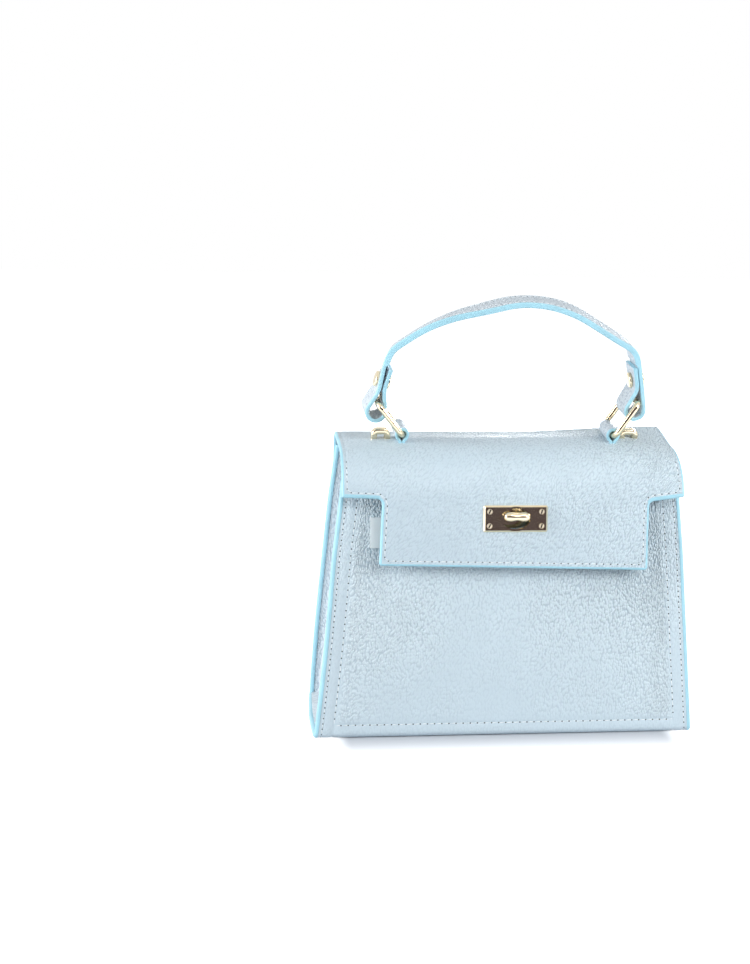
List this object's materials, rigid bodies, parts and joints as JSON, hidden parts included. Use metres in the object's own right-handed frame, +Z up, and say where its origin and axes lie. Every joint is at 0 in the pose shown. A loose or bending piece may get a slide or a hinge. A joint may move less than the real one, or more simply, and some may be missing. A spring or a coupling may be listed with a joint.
{
  "type": "leather handbag",
  "caption": "Small structured leather top-handle handbag with a flap, a turn lock, folding side gussets and a handle carried on metal rings.",
  "frame": {"origin": "middle of the underside of the base, on the surface that the bag stands on", "axes": "+X to the bag's right as seen from the front, +Y towards the back, +Z up; the flap's front and its lock face -Y"},
  "size_m": [0.23, 0.0875, 0.2663],
  "materials": {
    "leather": "powder blue pebbled leather, soft sheen",
    "edge_paint": "light blue leather with painted edges",
    "tag": "plain light blue tag",
    "lining": "pale blue suede-like lining",
    "board": "bonded fibre stiffening board",
    "gold": "polished pale gold plating",
    "steel": "zinc plated steel"
  },
  "bodies": {
    "bag": {"body_wrap": "leather", "body_lining": "lining", "front_board": "board", "back_board": "board", "base_board": "board", "gusset_left": "leather", "gusset_right": "leather", "flap_back_strip": "leather", "lock_base": "gold", "lock_back_plate": "steel", "lock_screw_left": "steel", "lock_screw_right": "steel", "blank_tag": "tag"},
    "flap_top": {"flap_top_leather": "leather", "flap_top_lining": "lining", "flap_top_board": "board", "handle_tab_left": "edge_paint", "handle_tab_right": "edge_paint", "strap_lug_left": "gold", "strap_lug_right": "gold", "lug_backing_left": "steel", "lug_backing_right": "steel"},
    "flap_front": {"flap_front_leather": "leather", "flap_front_lining": "lining", "flap_front_board": "board", "lock_plate": "gold", "lock_plate_backing": "gold", "plate_screw_1": "gold", "plate_screw_2": "gold", "plate_screw_3": "gold", "plate_screw_4": "gold"},
    "knob": {"turn_knob": "gold", "knob_washer": "steel"},
    "ring_left": {"ring_left": "gold"},
    "ring_right": {"ring_right": "gold"},
    "handle": {"handle_strap": "leather", "handle_inner_layer": "leather", "handle_post_left": "gold", "handle_post_right": "gold", "handle_cap_left": "gold", "handle_cap_right": "gold"}
  },
  "joints": [
    {"name": "flap_open", "type": "hinge", "parent": "bag", "child": "flap_top", "pos_m": [0, 0.02426, 0.17822], "axis": [-1, 0, 0], "range_deg": [0, 48]},
    {"name": "flap_front_bend", "type": "hinge", "parent": "flap_top", "child": "flap_front", "pos_m": [0, -0.02936, 0.16563], "axis": [-1, 0, 0], "range_deg": [0, 120]},
    {"name": "knob_turn", "type": "hinge", "parent": "bag", "child": "knob", "pos_m": [0, -0.02813, 0.13679], "axis": [0, -0.9956, 0.0937], "range_deg": [-90, 90]},
    {"name": "ring_left_swing", "type": "hinge", "parent": "flap_top", "child": "ring_left", "pos_m": [-0.0655, -0.00095, 0.18313], "axis": [0, 0.9903, 0.1392], "range_deg": [-12, 12]},
    {"name": "ring_right_swing", "type": "hinge", "parent": "flap_top", "child": "ring_right", "pos_m": [0.0655, -0.00095, 0.18313], "axis": [0, 0.9903, 0.1392], "range_deg": [-12, 12]},
    {"name": "handle_rock", "type": "hinge", "parent": "ring_left", "child": "handle", "pos_m": [-0.0809, -0.00365, 0.20237], "axis": [0, 0.9903, 0.1392], "range_deg": [-12, 12]}
  ],
  "couplings": [
    {"joint": "flap_front_bend", "follows": "flap_open", "ratio": 2.5},
    {"joint": "ring_right_swing", "follows": "ring_left_swing", "ratio": 0.9452},
    {"joint": "handle_rock", "follows": "ring_left_swing", "ratio": -0.8244}
  ]
}
